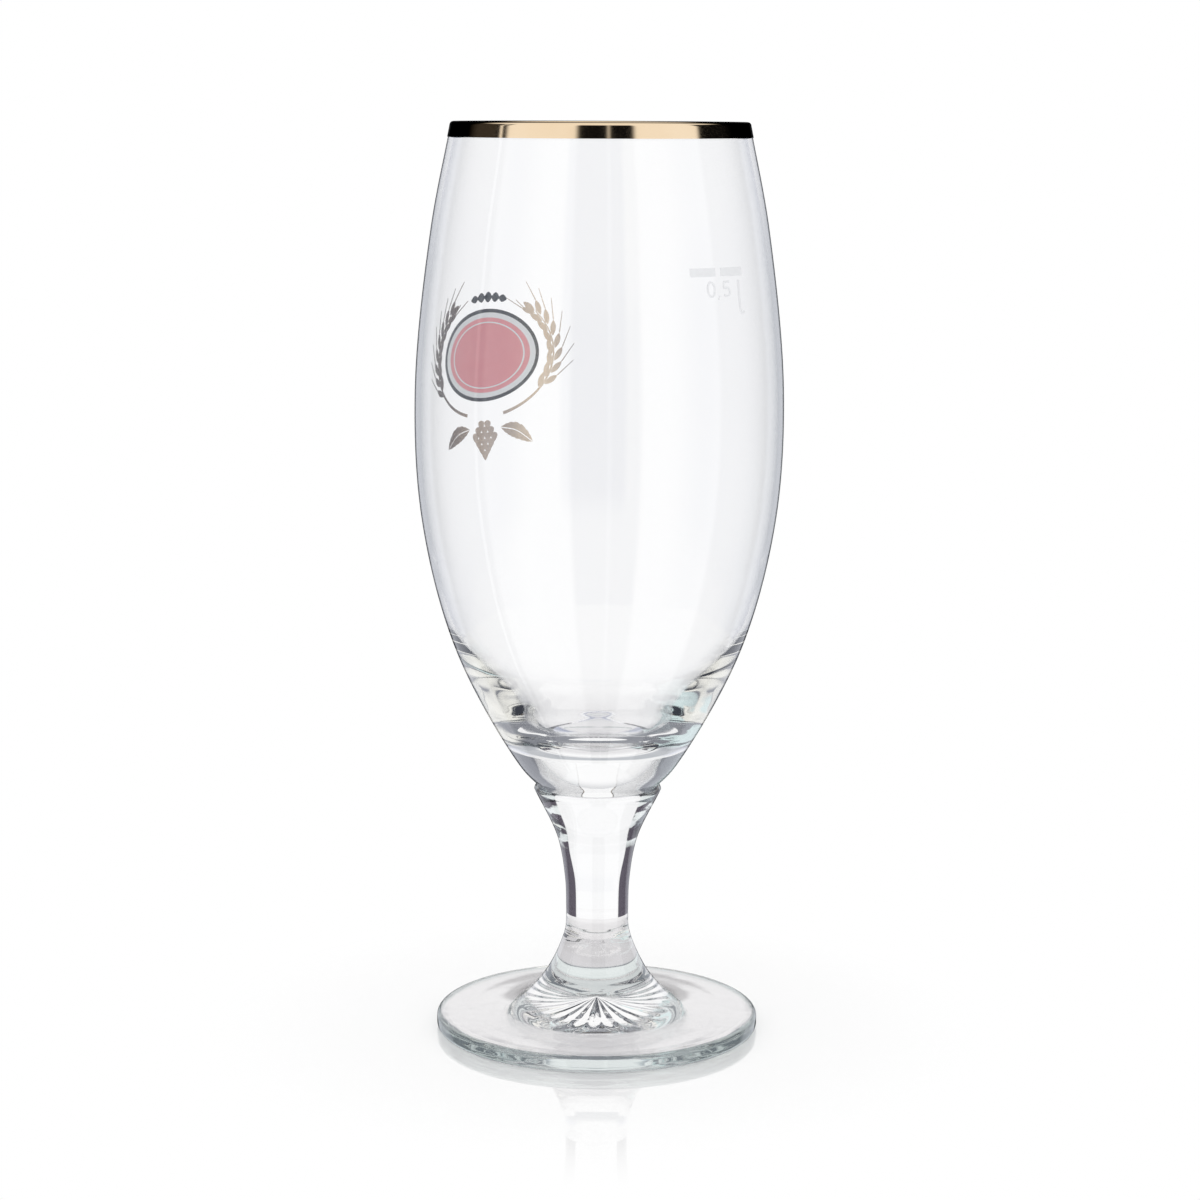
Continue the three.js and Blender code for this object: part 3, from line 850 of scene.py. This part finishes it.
def make_leaf(name, side, gold):
    """A toothed hop leaf in two halves, with its vein left clear."""
    x = HOP_HALF_WIDTH + LEAF_GAP
    y = -WREATH_HALF_HEIGHT - HOP_GAP - LEAF_HALF_WIDTH
    middle = (x + LEAF_LENGTH / 2, y - LEAF_DROOP / 4)
    tip = (x + LEAF_LENGTH, y - LEAF_DROOP)
    line = smooth_line([(x, y), middle, tip], steps=21)
    along = np.linspace(0, 1, len(line))
    teeth = 1 - TOOTH_DEPTH * (along * LEAF_TEETH % 1)
    edge = LEAF_HALF_WIDTH * almond(len(line) - 1) * teeth
    edge = np.maximum(edge, VEIN_HALF_WIDTH + 2 * POINT)
    ahead = np.gradient(line, axis=0)
    ahead /= np.linalg.norm(ahead, axis=1)[:, None]
    up = np.column_stack([-ahead[:, 1], ahead[:, 0]])
    strips = []
    for half in (-1, 1):
        centre = line + up * (half * (edge + VEIN_HALF_WIDTH) / 2)[:, None]
        strips.append(strip(centre * (side, 1), (edge - VEIN_HALF_WIDTH) / 2))
    film(name, strips, FRONT, PRINT_LEVEL, gold)


def make_arch(dark):
    """A line of beads over the panel, the largest in the middle."""
    reach = OUTLINE_GAP + OUTLINE_WIDTH + WREATH_GAP + BEAD_HALF_WIDTH
    half_width = PANEL_HALF_WIDTH + reach
    lean = math.asin(ARCH_HALF_SPAN / half_width)
    top = math.pi / 2
    steps = 12 * BEADS
    line = oval((0, 0), half_width, PANEL_HALF_HEIGHT + reach, top + lean, top - lean, steps)
    along = np.linspace(0, 1, steps + 1)
    swell = np.abs(np.sin(np.pi * BEADS * along)) * (0.5 + 0.5 * np.sin(np.pi * along))
    width = ARCH_HALF_WIDTH + (BEAD_HALF_WIDTH - ARCH_HALF_WIDTH) * swell
    film("beaded_arch", [strip(line, width)], FRONT, PRINT_LEVEL, dark)


def make_fill_mark(pale):
    """Two bars on the half-litre level, and the capacity under them."""
    def mark(name, line, half_width, closed=False):
        shifted = np.array(line, float) + (MARK_OFFSET, 0)
        film(name, [strip(shifted, half_width, closed)], BACK, FILL_LEVEL, pale)

    for name, side in (("fill_bar_left", -1), ("fill_bar_right", 1)):
        near = side * BAR_GAP / 2
        level = -BAR_THICKNESS / 2
        bar = straight((near, level), (near + side * BAR_LENGTH, level), steps=12)
        mark(name, bar, BAR_THICKNESS / 2)

    top = -BAR_THICKNESS - FIGURE_DROP
    middle = top - FIGURE_HEIGHT / 2
    litre_x = BAR_GAP / 2 + BAR_LENGTH - LITRE_HOOK
    five_x = litre_x - LITRE_STROKE / 2 - LITRE_SPACE - FIGURE_WIDTH / 2
    comma_x = five_x - FIGURE_WIDTH / 2 - FIGURE_SPACE - FIGURE_STROKE / 2
    zero_x = comma_x - FIGURE_STROKE / 2 - FIGURE_SPACE - FIGURE_WIDTH / 2
    half_stroke = FIGURE_STROKE / 2
    half_width, half_height = FIGURE_WIDTH / 2, FIGURE_HEIGHT / 2

    zero = ring((zero_x, middle), half_width - half_stroke, half_height - half_stroke, steps=40)
    mark("capacity_zero", zero, half_stroke, closed=True)

    foot = top - FIGURE_HEIGHT
    comma_tail = (comma_x - half_stroke, foot - FIGURE_STROKE)
    comma = straight((comma_x, foot + FIGURE_STROKE), comma_tail, steps=6)
    mark("capacity_comma", comma, half_stroke * np.linspace(1, COMMA_TAPER, len(comma)))

    pen = [
        (0.75, 0.86), (-0.1, 0.86), (-0.62, 0.75), (-0.74, 0.3), (-0.5, 0.08), (0.1, 0.16),
        (0.68, -0.12), (0.62, -0.62), (0.05, -0.87), (-0.72, -0.72),
    ]
    five = smooth_line([(five_x + x * half_width, middle + y * half_height) for x, y in pen], steps=6)
    mark("capacity_five", five, half_stroke)

    foot = top - LITRE_HEIGHT
    litre = smooth_line([
        (litre_x, top),
        (litre_x, foot + 2 * LITRE_HOOK),
        (litre_x + 0.15 * LITRE_HOOK, foot + 0.6 * LITRE_HOOK),
        (litre_x + 0.6 * LITRE_HOOK, foot + LITRE_STROKE / 2),
        (litre_x + LITRE_HOOK, foot + 0.6 * LITRE_HOOK),
    ], steps=8)
    mark("capacity_litre", litre, LITRE_STROKE / 2 * np.linspace(1, LITRE_TAPER, len(litre)))


# Studio.

TABLE_RADIUS = 200
TABLE_CORNERS = 64
TABLE_FADE = (45, 100)
MIRROR_SHARE = 0.38
MIRROR_LOSS = 0.22
MIRROR_FADE = (40, 115)
FLOOR_GAP = 0.05
UNDER_GLASS = rgb(0.77, 0.76, 0.77)


def make_floor():
    """A white floor that mirrors the glass faintly and fades into the white room.

    Seen through the glass, it has one steady tone.
    """
    mesh = bpy.data.meshes.new("floor")
    rim = TABLE_RADIUS * MM
    angles = [2 * math.pi * i / TABLE_CORNERS for i in range(TABLE_CORNERS)]
    corners = [(rim * math.cos(angle), rim * math.sin(angle), -FLOOR_GAP * MM) for angle in angles]
    mesh.from_pydata(corners, [], [range(TABLE_CORNERS)])
    floor = bpy.data.objects.new("floor", mesh)
    bpy.context.scene.collection.objects.link(floor)
    floor.visible_glossy = False
    material, shop = finish("white_floor")
    x, y, z = shop.axes(shop.place())
    away = shop.length(x, y) / MM
    white = shop.node("ShaderNodeBsdfDiffuse", {}, {"Color": WHITE})
    mirror = shop.node("ShaderNodeBsdfGlossy", {}, {"Color": WHITE, "Roughness": 0.0})
    glow = shop.node("ShaderNodeEmission", {}, {"Color": WHITE})
    shade = shop.node("ShaderNodeEmission", {}, {"Color": UNDER_GLASS})
    through_glass = shop.bounced("Transmission")
    ground = shop.blend(shop.rise(away, *TABLE_FADE), shop.blend(through_glass, white, shade), glow)
    share = (MIRROR_SHARE - MIRROR_LOSS * through_glass) * (1 - shop.rise(away, *MIRROR_FADE))
    show(shop, shop.blend(share, ground, mirror))
    mesh.materials.append(material)


# What reflections show. Turns are in degrees to the right of the camera, and levels are the
# upward share of a ray's direction.
LEFT_BOX = (-76, -18)
RIGHT_BOX = (26, 80)
BOX_EDGE = 2.5
LEFT_GLOW = (-84, -46)
RIGHT_GLOW = (40, 74)
LEFT_STRIP = (-83, -80.5)
MIDDLE_STRIP = (5, 7.5)
MIDDLE_STRIP_SHARE = 0.5
STRIP_EDGE = 0.7
DIM_WALL = (-121, -86)
SIDE_WALL = (128, 163)
SIDE_EDGE = 4
BACK_WALL = (125, 135)
BACK_WALL_LEVELS = (0.16, 0.24)
CEILING_LEVELS = (0.5, 0.7)
CAMERA_WALL = (50, 100)
BACKDROP = 150
BACKDROP_EDGE = 5
LOW_BACK_WALL = (110, 150)
LOW_BACK_LEVELS = (-0.26, 0.03)
LOW_BACK_SOFT = 0.06
INNER_TOP_LEVELS = (0.12, 0.24)
DEEP_TOP_LEVELS = (0.28, 0.40)
DEEP_BACK_WALL = (62, 90)
DEEP_FLOOR_LEVELS = (-0.06, 0.06)
TEAL_WALL = (-90, -55)
THROUGH_TOP_LEVELS = (0.55, 0.85)
BLACK_ROOM = rgb(0.003, 0.003, 0.004)
DIM_LIGHT = rgb(0.04, 0.035, 0.03)
SIDE_LIGHT = rgb(0.78, 0.80, 0.86)
CAMERA_SIDE = rgb(0.24, 0.28, 0.44)
GREY_SIDES = rgb(0.76, 0.78, 0.86)
LOW_BACK = rgb(0.55, 0.57, 0.60)
DEEP_FRONT = rgb(0.95, 0.94, 0.88)
DEEP_TOP = rgb(0.05, 0.055, 0.07)
DEEP_BACK = rgb(0.25, 0.26, 0.29)
TEAL_SIDE = rgb(0.72, 0.85, 0.85)
GREY_TOP = rgb(0.4, 0.42, 0.45)
BOUNCE_LIGHT = rgb(0.9, 0.9, 0.9)


def make_studio():
    """A white room that the glass is seen against, and other walls for what it mirrors."""
    world = bpy.data.worlds.new("studio")
    world.use_nodes = True
    bpy.context.scene.world = world
    shop = Shop(world.node_tree)
    x, y, z = shop.axes(shop.node("ShaderNodeTexCoord", {}, {}, "Generated"))
    toward = x * math.sin(CAMERA_AZIMUTH) - y * math.cos(CAMERA_AZIMUTH)
    right = x * math.cos(CAMERA_AZIMUTH) + y * math.sin(CAMERA_AZIMUTH)
    turn = shop.math("ARCTAN2", right, toward) * (180 / math.pi)
    round_turn = shop.math("ABSOLUTE", turn)

    # The outer face mirrors two soft boxes and two strips in a dark room that is white behind.
    boxes = shop.window(turn, *LEFT_BOX, BOX_EDGE) + shop.window(turn, *RIGHT_BOX, BOX_EDGE)
    left_strip = shop.window(turn, *LEFT_STRIP, STRIP_EDGE)
    middle_strip = MIDDLE_STRIP_SHARE * shop.window(turn, *MIDDLE_STRIP, STRIP_EDGE)
    room = shop.mix(shop.window(turn, *DIM_WALL, BOX_EDGE), BLACK_ROOM, DIM_LIGHT)
    room = shop.mix(shop.window(round_turn, *SIDE_WALL, SIDE_EDGE), room, SIDE_LIGHT)
    outer = shop.mix(boxes + left_strip + middle_strip, room, WHITE)
    behind = shop.rise(round_turn, *BACK_WALL) * shop.rise(z, *BACK_WALL_LEVELS)
    outer = shop.mix(shop.math("MAXIMUM", behind, shop.rise(z, *CEILING_LEVELS)), outer, WHITE)

    # Faces inside the glass mirror the boxes more softly, between paler walls.
    around = shop.mix(shop.rise(round_turn, *CAMERA_WALL), CAMERA_SIDE, GREY_SIDES)
    around = shop.mix(shop.past(round_turn, BACKDROP, BACKDROP_EDGE), around, WHITE)
    left_glow = shop.rise(turn, *LEFT_GLOW) * (1 - shop.past(turn, LEFT_BOX[1], BOX_EDGE))
    right_glow = shop.past(turn, RIGHT_BOX[0], BOX_EDGE) * (1 - shop.rise(turn, *RIGHT_GLOW))
    inner = shop.mix(left_glow + right_glow, around, WHITE)
    low = shop.window(z, *LOW_BACK_LEVELS, LOW_BACK_SOFT) * shop.rise(round_turn, *LOW_BACK_WALL)
    inner = shop.mix(low, inner, LOW_BACK)
    inner = shop.mix(shop.rise(z, *INNER_TOP_LEVELS), inner, WHITE)

    # Light mirrored twice or more inside the glass comes from cream, teal, grey and dark walls.
    deep = shop.mix(shop.rise(z, *DEEP_TOP_LEVELS), DEEP_FRONT, DEEP_TOP)
    deep = shop.mix(shop.rise(round_turn, *DEEP_BACK_WALL), deep, DEEP_BACK)
    deep = shop.mix(shop.window(turn, *TEAL_WALL, BOX_EDGE), deep, TEAL_SIDE)
    deep = shop.mix(shop.rise(z, *DEEP_FLOOR_LEVELS), DEEP_BACK, deep)
    inner = shop.mix(shop.bounced("Glossy", 2), inner, deep)

    # Light that isn't mirrored is white, or grey from above. The floor's mirror, which is the only
    # quite sharp one, shows white.
    through = shop.mix(shop.rise(z, *THROUGH_TOP_LEVELS), WHITE, GREY_TOP)
    mirrored = shop.mix(shop.bounced("Transmission"), outer, inner)
    seen = shop.mix(shop.bounced("Glossy"), through, mirrored)
    seen = shop.mix(shop.path("Is Singular Ray") * shop.path("Is Reflection Ray"), seen, WHITE)
    seen = shop.mix(shop.bounced("Diffuse"), seen, BOUNCE_LIGHT)
    seen = shop.mix(shop.path("Is Camera Ray"), seen, WHITE)
    background = shop.node("ShaderNodeBackground", {}, {"Color": seen})
    shop.node("ShaderNodeOutputWorld", {}, {"Surface": background})


LAMP_POWER = 0.4
LAMP_SPREAD = math.radians(50)
LAMP_TILT = math.radians(40)
LAMP_TURN = math.radians(35)


def make_lamp():
    """A wide soft sun, over the camera's left, that only the floor and the enamel show."""
    lamp = bpy.data.lights.new("key", "SUN")
    lamp.energy = LAMP_POWER
    lamp.angle = LAMP_SPREAD
    key = bpy.data.objects.new("key", lamp)
    key.rotation_euler = (LAMP_TILT, 0, CAMERA_AZIMUTH - LAMP_TURN)
    key.visible_glossy = False
    key.visible_transmission = False
    bpy.context.scene.collection.objects.link(key)


def make_camera():
    """An eye where the photograph was taken from."""
    camera = bpy.data.cameras.new("camera")
    camera.sensor_width = CAMERA_SENSOR
    camera.lens = CAMERA_LENS
    eye = bpy.data.objects.new("camera", camera)
    place = Vector((
        CAMERA_DISTANCE * math.sin(CAMERA_AZIMUTH),
        -CAMERA_DISTANCE * math.cos(CAMERA_AZIMUTH),
        CAMERA_HEIGHT,
    )) * MM
    aim = Matrix.Rotation(CAMERA_AZIMUTH + CAMERA_PAN, 4, "Z")
    tilt = Matrix.Rotation(math.pi / 2 - CAMERA_TILT, 4, "X")
    roll = Matrix.Rotation(CAMERA_ROLL, 4, "Z")
    eye.matrix_world = Matrix.Translation(place) @ aim @ tilt @ roll
    bpy.context.scene.collection.objects.link(eye)
    bpy.context.scene.camera = eye


make_camera()
make_floor()
make_studio()
make_lamp()

weld = fused_weld()
make_bowl(blown_glass(), weld)
make_stem(pressed_stem_glass(), weld)
make_foot(pressed_foot_glass(), weld)
make_lip_band(burnished_gold())
dark = dark_enamel()
gold = lustre_gold()
make_panel(red_enamel(), dark)
make_ear("barley_ear_left", -1, gold)
make_ear("barley_ear_right", 1, gold)
make_hop(gold)
make_leaf("hop_leaf_left", -1, gold)
make_leaf("hop_leaf_right", 1, gold)
make_arch(dark)
make_fill_mark(pale_enamel())

bpy.context.scene.view_settings.view_transform = "Standard"
for limit in ("max_bounces", "glossy_bounces", "transmission_bounces", "transparent_max_bounces"):
    setattr(bpy.context.scene.cycles, limit, GLASS_BOUNCES)
